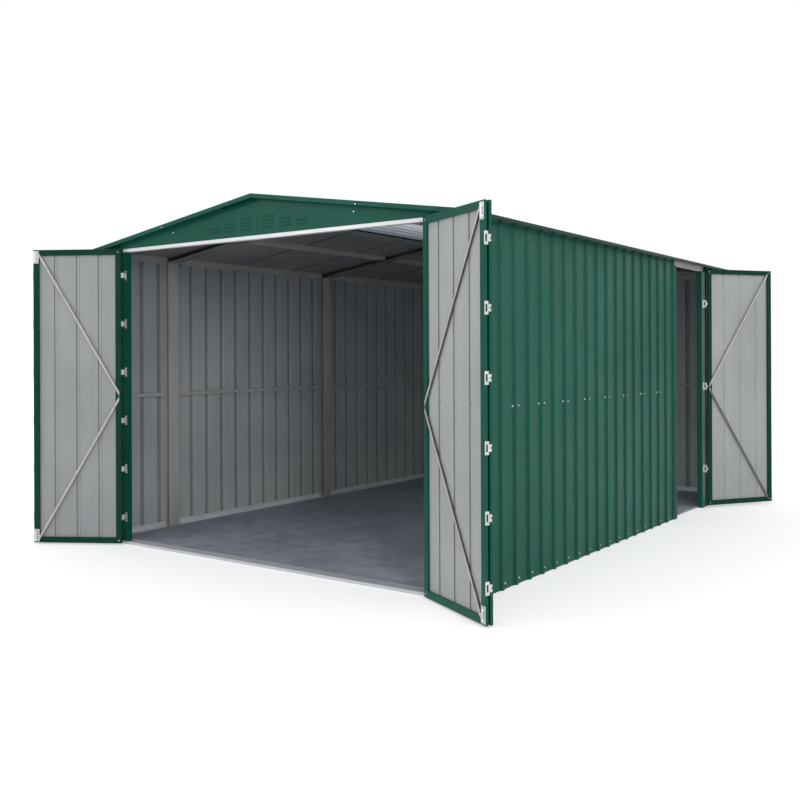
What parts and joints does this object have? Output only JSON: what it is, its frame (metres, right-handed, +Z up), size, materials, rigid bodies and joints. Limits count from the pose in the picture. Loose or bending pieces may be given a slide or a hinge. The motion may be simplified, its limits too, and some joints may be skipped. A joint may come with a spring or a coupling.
{
  "type": "metal garage",
  "caption": "Ribbed steel garage with a low ridge roof, folding front doors standing open and a hinged side door.",
  "frame": {"origin": "on the ground at the middle of the footprint, on the underside of the floor slab", "axes": "+X to the right when facing the front doors, +Y from the front doors to the back wall, +Z up"},
  "size_m": [3.7739, 5.0389, 2.3014],
  "materials": {
    "green_paint": "satin green outside, grey coated inside",
    "dark_green_paint": "satin dark green",
    "leaf_sheet": "light grey coated inside, green outside",
    "galvanised": "zinc coated, dull",
    "frame_grey": "dull zinc, warm grey",
    "light_steel": "bright mill finish",
    "concrete": "smooth, mottled"
  },
  "bodies": {
    "garage": {"floor": "concrete", "threshold": "light_steel", "base_rails": "galvanised", "front_jambs": "green_paint", "header_track": "light_steel", "front_wall_left": "green_paint", "front_wall_right": "green_paint", "left_wall": "green_paint", "right_wall_front": "green_paint", "right_wall_back": "green_paint", "side_door_jambs": "green_paint", "back_wall": "green_paint", "front_gable": "green_paint", "back_gable": "green_paint", "top_rails": "frame_grey", "mid_rails": "galvanised", "left_posts": "frame_grey", "right_posts": "frame_grey", "left_rafters": "frame_grey", "right_rafters": "frame_grey", "purlins": "frame_grey", "left_roof": "green_paint", "right_roof": "green_paint", "ridge_cap": "green_paint", "front_barge": "dark_green_paint", "back_barge": "dark_green_paint", "eave_trims": "dark_green_paint", "left_leaf_frames": "dark_green_paint", "left_leaf_sheets": "leaf_sheet", "left_leaf_braces": "galvanised", "right_leaf_frames": "dark_green_paint", "right_leaf_sheets": "leaf_sheet", "right_leaf_braces": "galvanised", "left_hinges": "galvanised", "right_hinges": "galvanised", "door_bolts": "light_steel", "side_hinge_plates": "galvanised"},
    "side_door": {"side_door_frame": "dark_green_paint", "side_door_sheet": "leaf_sheet", "side_door_braces": "galvanised", "side_door_knuckles": "galvanised"}
  },
  "joints": [
    {"name": "side_door_hinge", "type": "hinge", "parent": "garage", "child": "side_door", "pos_m": [1.556, 1.495, 1], "axis": [0, 0, 1], "range_deg": [-145.5, 15]}
  ]
}
